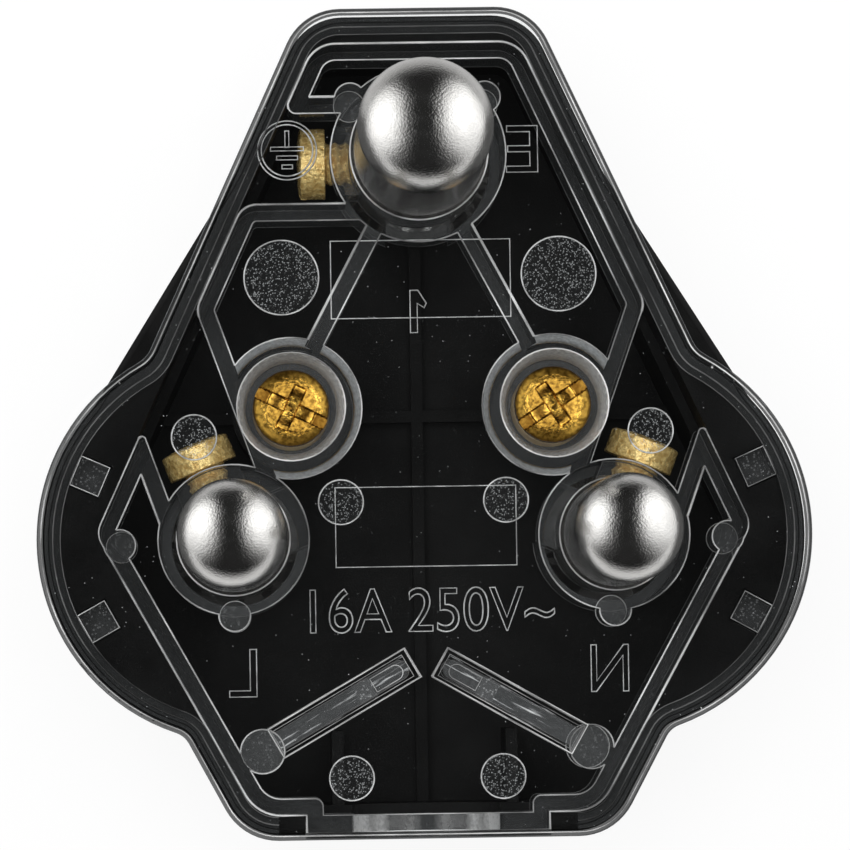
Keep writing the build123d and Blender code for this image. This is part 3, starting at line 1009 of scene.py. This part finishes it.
    def discs(self, spots: Sequence[tuple]) -> list:
        """Circles at places with a radius each, and at their mirror images on the live side."""
        return [circle((side * x, y), radius) for x, y, radius in spots for side in (-1, 1)]

    def patches(self, name: str, outlines: Sequence[Array], level: float, finish: Finish) -> tuple:
        """Flat patches at one level, each with a closed outline.

        Args:
            name: The piece's name.
            outlines: Flat corner points of each patch.
            level: Height of the patches.
            finish: Finish of the patches.

        Returns:
            Points of all the outlines in metres and the edges along them.
        """
        points, edges = lay([closed(outline) for outline in outlines], level)
        parts = np.split(np.arange(len(points)), np.cumsum([len(line) for line in outlines[:-1]]))
        make_piece(name, points, [part[::-1].tolist() for part in parts], finish, Slot.PLATE)
        return points, edges

    def marks(self) -> None:
        """Gritty faces with bright outlines, which are painted glints: ejector marks of the mould, ends of
        the posts, and the keys.
        """
        rings = self.discs(self.ejectors)
        wire = self.patches("ejector_marks", rings, self.inner - self.seat_lift, MARK_GRIT)
        bead("ejector_rings", *wire, self.soft_bead, SIGN_EDGE)
        rings = self.discs(self.posts)
        wire = self.patches("post_ends", rings, self.rib_end + self.level_step, POST_GRIT)
        bead("post_rings", *wire, self.dim_bead, BRIGHT_EDGE)
        half = self.key_size / 2
        square = rectangle((self.key_ring - half, -half), (self.key_ring + half, half))
        keys = []
        for angle in self.key_angles:
            key = square @ axes_at(angle) + self.key_centre
            keys += [key, (key * (-1, 1))[::-1]]
        wire = self.patches("key_faces", keys, self.inner - self.level_step, KEY_GRIT)
        bead("key_outlines", *wire, self.dim_bead, SIGN_EDGE)

    def leaves(self) -> None:
        """Faces of the two cord-grip leaves, with bright outlines, which are painted glints, and a
        round-ended pocket near each tip.
        """
        half = self.leaf_width / 2
        face = rectangle((self.leaf_span[0], -half), (self.leaf_span[1], half))
        start, end = self.leaf_pocket
        radius = self.leaf_pocket_radius
        bend = np.linspace(-pi / 2, pi / 2, 17)
        pocket = np.column_stack([np.cos(bend), np.sin(bend)]) * radius + (end, 0.0)
        pocket = np.concatenate([pocket, [(start, radius), (start, -radius)]])
        outlines = [line @ axes_at(self.leaf_angle) + self.leaf_root for line in (face, pocket)]
        outlines += [line[::-1] * (-1, 1) for line in outlines]
        level = self.leaf_top + self.seat_lift
        wires = [closed(line) for line in outlines]
        bead("leaf_outlines", *lay(wires, level), self.dim_bead, BRIGHT_EDGE)
        points, _ = lay(wires[::2], level)
        faces = np.arange(len(points)).reshape(2, -1)
        piece = make_piece("leaf_faces", points, faces, LEAF_STREAKS, Slot.PLATE)
        spread = np.concatenate([face, face[::-1] + (0.0, self.leaf_streak_shift)])
        carry(piece, "leaf", np.column_stack([spread, np.zeros(len(spread))]), "POINT")


@dataclass
class PlugPin:
    """Round plated pin with a domed end, a rear flange, a wire hole and a tapped hole."""

    name: str
    wire_angle: float
    wire_hole_radius: float
    boss_height: float = 12.0
    seat_step: float = 0.2
    seat_bevel: float = 0.02
    flange_width: float = 0.65
    flange_bevel: float = 0.1
    wire_hole_floor: float = 1.1
    screw_hole_radius: float = 1.52
    ring_shares: tuple = (0.02, 0.3, 0.6, 0.9)
    dome_steps: int = 48
    steps: int = 160

    def build(self) -> Piece:
        """Make the pin: a turned profile with its two cross holes cut out."""
        node = f"{self.name}_pin"
        x, y, radius = pin_mount(self.name)
        rear, tip = (float(corner.z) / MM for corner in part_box(node))
        face = plate_face()
        boss_end = face - PLATE_THICKNESS - self.boss_height
        shank = radius + self.seat_step
        flange = shank + self.flange_width
        bevel, seat_bevel = self.flange_bevel, self.seat_bevel
        foot = [(flange - bevel, rear), (flange, rear + bevel), (flange, boss_end - bevel)]
        seat = [(shank, boss_end), (shank, face - seat_bevel), (shank - seat_bevel, face), (radius, face)]
        stem = [(radius, face + share * (tip - radius - face)) for share in self.ring_shares]
        rise = np.arange(self.dome_steps) * pi / 2 / self.dome_steps
        dome = np.column_stack([radius * np.cos(rise), tip - radius + radius * np.sin(rise)])
        profile = np.concatenate([foot, [(flange - bevel, boss_end)], seat, stem, dome])
        points, faces = turn(profile[:, 0], profile[:, 1], self.steps)
        bars = (
            (self.wire_hole_radius, self.wire_hole_floor - radius, self.wire_angle),
            (self.screw_hole_radius, 0.0, TERMINAL_ANGLES[self.name]),
        )
        points, faces = carve(points, faces, [self.cross_bar(*bar, flange + 1.0) for bar in bars])
        points = placed(points, Matrix.Translation((x, y, 0)))
        piece = make_piece(f"{node}_plated", points, faces, NICKEL, Slot.PIN)
        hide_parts(node)
        return piece

    def cross_bar(self, radius: float, start: float, angle: float, end: float) -> tuple:
        """Points and faces of a round bar across the terminal, between two distances from the pin's axis."""
        points, faces = turn(np.array([radius, radius]), np.array([start, end]), 48)
        level = plate_face() - PLATE_THICKNESS - TERMINAL_DEPTH
        move = Matrix.Translation((0, 0, level)) @ Matrix.Rotation(radians(angle), 4, "Z")
        move = move @ Matrix.Rotation(pi / 2, 4, "Y")
        return placed(points, move) / MM, faces


class Recess(Enum):
    """Drive in a screw's head."""

    SLOT = "slot"
    SLOT_AND_CROSS = "slot and cross"


@dataclass
class BrassScrew:
    """Turned brass screw along +Z: head up, recess sunk in its top, thread on its shank.

    The shares of a recess are of its slot's depth, and its reaches are of the head's radius. The tables of
    tone and painted highlights pair a reach with how pale the brass is there.
    """

    node: str
    recess: Recess
    head_radius: float
    head_height: float
    dome: float
    slot_width: float
    slot_depth: float
    shank_radius: float
    shank_length: float
    pitch: float
    finish: Finish
    thread_depth: float = 0.22
    head_bevel: float = 0.06
    lip_width: float = 0.12
    cross_length: float = 0.0
    pocket_reach: float = 0.62
    cone_reach: float = 0.5
    slot_share: float = 0.4
    arm_share: float = 0.55
    cone_share: float = 0.45
    highlight_angle: float = 0.0
    edge_darkening: tuple = ((0.9, 0.35), (1.0, 0.1))
    crown_highlight: tuple = ((0.5, 0.0), (0.66, 0.3), (0.76, 1.0), (0.86, 1.0), (0.93, 0.3), (1.0, 0.0))
    floor_highlights_and_tone: tuple = (
        *((0.08, 0.35), (0.16, 1.0), (0.26, 0.8), (0.34, 0.15), (0.44, 0.1)),
        *((0.55, 0.3), (0.6, 0.9), (0.64, 0.7), (0.68, 0.05), (0.9, 0.15)),
    )
    crown_highlight_gain: float = 0.9
    lip_highlight_gain: float = 0.5
    plain_head_tone: float = 0.95
    plain_floor_tone: float = 0.5
    steps: int = 240
    rings: int = 72

    def inside(self, distance: Array, half_width: float) -> Array:
        """1 within a half width of a middle line and 0 beyond it, with a narrow smooth step between."""
        step = np.clip((half_width - np.abs(distance)) / self.lip_width + 0.5, 0, 1)
        return step * step * (3 - 2 * step)

    def sink(self, x: Array, y: Array) -> Array:
        """Depth of the recess below the head's top at each point.

        Args:
            x: Distances along the slot.
            y: Distances across the slot.

        Returns:
            Slot depth inside the slot, falling to nothing over a narrow rounded edge. With a cross, the slot
            is shallower except in square pockets at its ends, a second, shorter slot crosses it, and a cone
            deepens the middle.
        """
        slot = self.inside(y, self.slot_width / 2)
        if self.recess is Recess.SLOT:
            return self.slot_depth * slot
        pocket = slot * (1 - self.inside(x, self.pocket_reach * self.head_radius))
        arm = self.inside(x, self.slot_width / 2) * self.inside(y, self.cross_length / 2)
        cone = np.clip(1.0 - np.hypot(x, y) / (self.cone_reach * self.head_radius), 0, 1)
        cross = np.maximum(self.slot_share * slot, self.arm_share * arm)
        cross = cross + self.cone_share * cone * np.maximum(slot, arm)
        return self.slot_depth * np.maximum(cross, pocket)

    def polish(self, x: Array, y: Array) -> Array:
        """How pale the head's top is at each point, from wear and painted light.

        Args:
            x: Distances along the slot.
            y: Distances across the slot.

        Returns:
            Shares that are high on two sides of the crown, on the recess's lips and on the facets near its
            middle, which are painted highlights, and low along the head's edge, at the ends of the arms and
            in the pockets.
        """
        reach = np.hypot(x, y) / self.head_radius
        if self.recess is Recess.SLOT:
            top, floor = self.plain_head_tone, self.plain_floor_tone
        else:
            # painted highlights: the crown is paler on two opposite sides, at the highlight angle
            painted_sheen = np.cos(np.arctan2(y, x) - radians(self.highlight_angle)) ** 2
            crown = np.interp(reach, *zip(*self.crown_highlight))
            top = np.interp(reach, *zip(*self.edge_darkening)) + self.crown_highlight_gain * crown * painted_sheen
            # painted highlights on the facets near the recess's middle; darker at the arms' ends and in the
            # pockets
            floor = np.interp(reach, *zip(*self.floor_highlights_and_tone))
        sunk = np.clip(self.sink(x, y) / (self.slot_share * self.slot_depth), 0, 1)
        # painted highlight along the recess's lips
        lip = 4 * sunk * (1 - sunk)
        return np.clip(top * (1 - sunk) + floor * sunk + self.lip_highlight_gain * lip, 0, 1)

    def build(self, place: Matrix) -> Piece:
        """Make the screw.

        Args:
            place: Where the underside of the head is, and which way the head points.

        Returns:
            The screw as one piece, which stands for its node.
        """
        angles = np.arange(self.steps) * tau / self.steps
        ring = np.ones(self.steps)
        threads = np.linspace(-self.shank_length, -NEAR, int(self.shank_length / self.pitch * 8))
        turns = threads[:, None] / self.pitch - angles / tau
        crest = np.abs(2 * (turns - np.floor(turns)) - 1)
        shank = self.shank_radius - self.thread_depth * crest
        edge = self.head_height - self.dome
        bevel = self.head_bevel
        under = [(self.shank_radius, 0.0), (self.head_radius - bevel, 0.0), (self.head_radius, bevel)]
        under = np.array(under + [(self.head_radius, edge * 0.5)])
        top_radii = np.maximum(self.head_radius * np.cos(np.linspace(0, pi / 2, self.rings)), 0.02)
        crown = edge + self.dome * np.sqrt(np.clip(1 - (top_radii / self.head_radius) ** 3, 0, 1))
        x, y = top_radii[:, None] * np.cos(angles), top_radii[:, None] * np.sin(angles)
        sunk = np.minimum(crown[:, None], self.head_height - self.sink(x, y))
        radii = np.concatenate([shank, under[:, :1] * ring, top_radii[:, None] * ring])
        heights = np.concatenate([threads[:, None] * ring, under[:, 1:] * ring, sunk])
        points, faces = turn(radii, heights, self.steps)
        piece = make_piece(f"{self.node}_turned", placed(points, place), faces, self.finish, Slot.SCREW)
        # map of wear and painted light: paler head sides, darker in the thread's roots, and the top's painted
        # highlights
        side = np.full((len(under), self.steps), self.plain_head_tone)
        polish = np.concatenate([1.0 - 0.5 * crest, side, self.polish(x, y)])
        carry(piece, "polish", np.append(polish.ravel(), (0.5, 0.5)), "POINT")
        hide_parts(self.node)
        return piece


@dataclass
class Screws:
    """The two cover screws, sunk in the plate, and the three terminal screws, which lie across their pins."""

    seat_depth: float = 4.3
    terminal_standoff: float = 1.82
    terminal_tip: float = 1.3
    # side, slot angle, and the angle of the painted highlights
    cover_turns: tuple = (("left", -26.0, 51.0), ("right", 33.0, -45.0))

    def build(self) -> list:
        """Make all five screws and return them."""
        made = [self.cover_screw(*screw) for screw in self.cover_turns]
        return made + [self.terminal_screw(*screw) for screw in TERMINAL_ANGLES.items()]

    def cover_screw(self, side: str, slot_angle: float, highlight_angle: float) -> Piece:
        """Make the cover screw on one side, with its slot and its painted highlights at their angles."""
        screw = BrassScrew(
            node=f"cover_screw_{side}",
            recess=Recess.SLOT_AND_CROSS,
            head_radius=2.55,
            head_height=2.1,
            dome=0.7,
            slot_width=0.85,
            slot_depth=0.9,
            shank_radius=1.75,
            shank_length=14.0,
            pitch=0.9,
            finish=SCREW_BRASS,
            cross_length=3.1,
            highlight_angle=highlight_angle,
        )
        low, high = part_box(screw.node)
        middle = (low + high) / 2 / MM
        place = Matrix.Translation((middle.x, middle.y, plate_face() - self.seat_depth))
        return screw.build(place @ Matrix.Rotation(radians(slot_angle), 4, "Z"))

    def terminal_screw(self, name: str, angle: float) -> Piece:
        """Make the terminal screw of one pin, which points away from the pin at an angle."""
        x, y, radius = pin_mount(name)
        under_head = radius + self.terminal_standoff
        screw = BrassScrew(
            node=f"{name}_terminal_screw",
            recess=Recess.SLOT,
            head_radius=2.4,
            head_height=1.9,
            dome=0.3,
            slot_width=0.8,
            slot_depth=0.9,
            shank_radius=1.5,
            shank_length=under_head - self.terminal_tip,
            pitch=0.7,
            finish=TERMINAL_BRASS,
        )
        level = plate_face() - PLATE_THICKNESS - TERMINAL_DEPTH
        place = Matrix.Translation((x, y, level)) @ Matrix.Rotation(radians(angle), 4, "Z")
        place = place @ Matrix.Translation((under_head, 0, 0)) @ Matrix.Rotation(pi / 2, 4, "Y")
        return screw.build(place @ Matrix.Rotation(pi / 2, 4, "Z"))


@dataclass
class RubberCover:
    """Black rubber cover behind the plate, and the two brass inserts in its pillars."""

    rim_sink: float = 0.03

    def build(self) -> None:
        """Make the cover, with its rim just clear of the plate, and its inserts."""
        points, triangles = node_triangles("rubber_cover")
        rim = float(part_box("rubber_cover")[1].z)
        points[points[:, 2] > rim - TOUCH * MM, 2] -= self.rim_sink * MM
        cover = make_piece("rubber_cover_moulded", points, triangles, RUBBER, Slot.RUBBER)
        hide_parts("rubber_cover")
        for node in ("cover_insert_left", "cover_insert_right"):
            insert = make_piece(f"{node}_turned", *node_triangles(node), INSERT_BRASS, Slot.INSERT)
            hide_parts(node)


@dataclass(frozen=True)
class Panel:
    """Upright light panel beside the plug, which fades from its middle to its edges."""

    name: str
    side: int
    distance: float
    middle: tuple
    size: tuple
    radiance: float


@dataclass
class Studio:
    """Camera over the plug, light panels beside it, soft lamps above it and a white floor, in millimetres."""

    camera_place: tuple = (-10.0, -17.8, 523.0)
    camera_aim: tuple = (0.18, -0.09, 23.0)
    camera_roll: float = 0.9
    lens: float = 317.6
    sensor: float = 36.0
    panels: tuple = (
        Panel("left_panel", -1, 105.0, (40.0, 75.0), (315.0, 300.0), 1.5),
        Panel("right_panel", 1, 105.0, (55.0, 90.0), (385.0, 440.0), 1.3),
        Panel("left_glow", -1, 108.0, (40.0, 120.0), (560.0, 480.0), 0.2),
        Panel("right_glow", 1, 108.0, (70.0, 180.0), (640.0, 600.0), 0.4),
    )
    overhead_place: tuple = (-60.0, 60.0, 640.0)
    overhead_size: float = 400.0
    overhead_radiance: float = 7.0
    sparkle_place: tuple = (30.0, 30.0, 450.0)
    sparkle_size: float = 420.0
    sparkle_radiance: float = 2.5
    floor_radius: float = 4000.0
    floor_gap: float = 0.02
    room: float = 0.02

    def build(self, brass: Sequence[Piece]) -> None:
        """Make the camera, the lamps, the floor and the surroundings.

        Args:
            brass: Pieces that have a lamp of their own.
        """
        self.camera()
        for panel in self.panels:
            self.light_panel(panel)
        self.overhead()
        self.sparkle(brass)
        self.floor()
        self.surroundings()
        bpy.context.scene.view_settings.view_transform = "Standard"

    def camera(self) -> None:
        """Camera at the photograph's angle, a little turned about its axis."""
        data = bpy.data.cameras.new("camera")
        data.lens = self.lens
        data.sensor_width = self.sensor
        data.clip_start, data.clip_end = 0.01, 20.0
        camera = show("camera", data)
        place = Vector(self.camera_place)
        back = (place - Vector(self.camera_aim)).normalized()
        up = Vector((sin(radians(self.camera_roll)), cos(radians(self.camera_roll)), 0.0))
        right = up.cross(back).normalized()
        axes = Matrix((right, back.cross(right), back)).transposed().to_4x4()
        camera.matrix_world = Matrix.Translation(place * MM) @ axes
        bpy.context.scene.camera = camera

    def lamp(self, name: str, place: tuple, size: tuple, radiance: float) -> Piece:
        """Rectangular lamp that shines down: its power is radiance times pi times its area."""
        data = bpy.data.lights.new(name, "AREA")
        data.shape = "RECTANGLE"
        data.size, data.size_y = size[0] * MM, size[1] * MM
        data.energy = radiance * pi * data.size * data.size_y
        lamp = show(name, data)
        lamp.visible_camera = False
        lamp.matrix_world = Matrix.Translation(Vector(place) * MM)
        return lamp

    def light_panel(self, panel: Panel) -> None:
        """Make one upright panel, facing the plug and fading smoothly to nothing at its edges."""
        place = (panel.side * panel.distance, *panel.middle)
        lamp = self.lamp(panel.name, place, panel.size, panel.radiance)
        along = Vector((0.0, panel.side, 0.0))
        up = Vector((0.0, 0.0, 1.0))
        axes = Matrix((along, up, along.cross(up))).transposed().to_4x4()
        lamp.matrix_world = lamp.matrix_world @ axes
        lamp.data.use_nodes = True
        graph = Graph(lamp.data.node_tree)
        spread = graph.add("NewGeometry").outputs["Parametric"]
        across, over, _ = graph.add("SeparateXYZ", {0: spread}).outputs
        strength = 1.0
        for share in (across, over):
            offset = graph.maths("ABSOLUTE", graph.maths("SUBTRACT", share, 0.5))
            faded = graph.span(graph.maths("SUBTRACT", 0.5, offset), 0.0, 0.5, 0.0, 1.0, "SMOOTHSTEP")
            strength = graph.maths("MULTIPLY", strength, faded)
        graph.finish(graph.add("Emission", {"Strength": strength}).outputs[0], "OutputLight")

    def overhead(self) -> None:
        """Soft lamp far above the plug, which lights its hollows and leaves no mirror image in the pins."""
        size = (self.overhead_size, self.overhead_size)
        lamp = self.lamp("overhead", self.overhead_place, size, self.overhead_radiance)
        lamp.visible_glossy = False

    def sparkle(self, brass: Sequence[Piece]) -> None:
        """Soft lamp beside the camera, which only the brass mirrors."""
        size = (self.sparkle_size, self.sparkle_size)
        lamp = self.lamp("sparkle", self.sparkle_place, size, self.sparkle_radiance)
        lit = bpy.data.collections.new("brass_pieces")
        for piece in brass:
            lit.objects.link(piece)
        lamp.light_linking.receiver_collection = lit

    def floor(self) -> None:
        """Wide flat floor just under the plug."""
        points, _ = lay([closed(circle((0.0, 0.0), self.floor_radius, 64))], -self.floor_gap)
        floor = show_mesh("floor", points, [list(range(len(points)))])
        floor.data.materials.append(FLOOR.material())

    def surroundings(self) -> None:
        """Dim room around the floor."""
        world = bpy.data.worlds.new("studio")
        world.use_nodes = True
        graph = Graph(world.node_tree)
        colour = (self.room, self.room, self.room, 1.0)
        graph.finish(graph.add("Background", {"Color": colour}).outputs[0], "OutputWorld")
        bpy.context.scene.world = world


def main() -> None:
    """Build the plug's pieces and the studio."""
    logging.basicConfig(level=logging.INFO, format="%(message)s")
    PinPlate().build()
    PlugPin("earth", wire_angle=-90.0, wire_hole_radius=2.1).build()
    PlugPin("live", wire_angle=22.0, wire_hole_radius=1.9).build()
    PlugPin("neutral", wire_angle=158.0, wire_hole_radius=1.9).build()
    brass = Screws().build()
    RubberCover().build()
    Studio().build(brass)


if __name__ == "__main__":
    main()
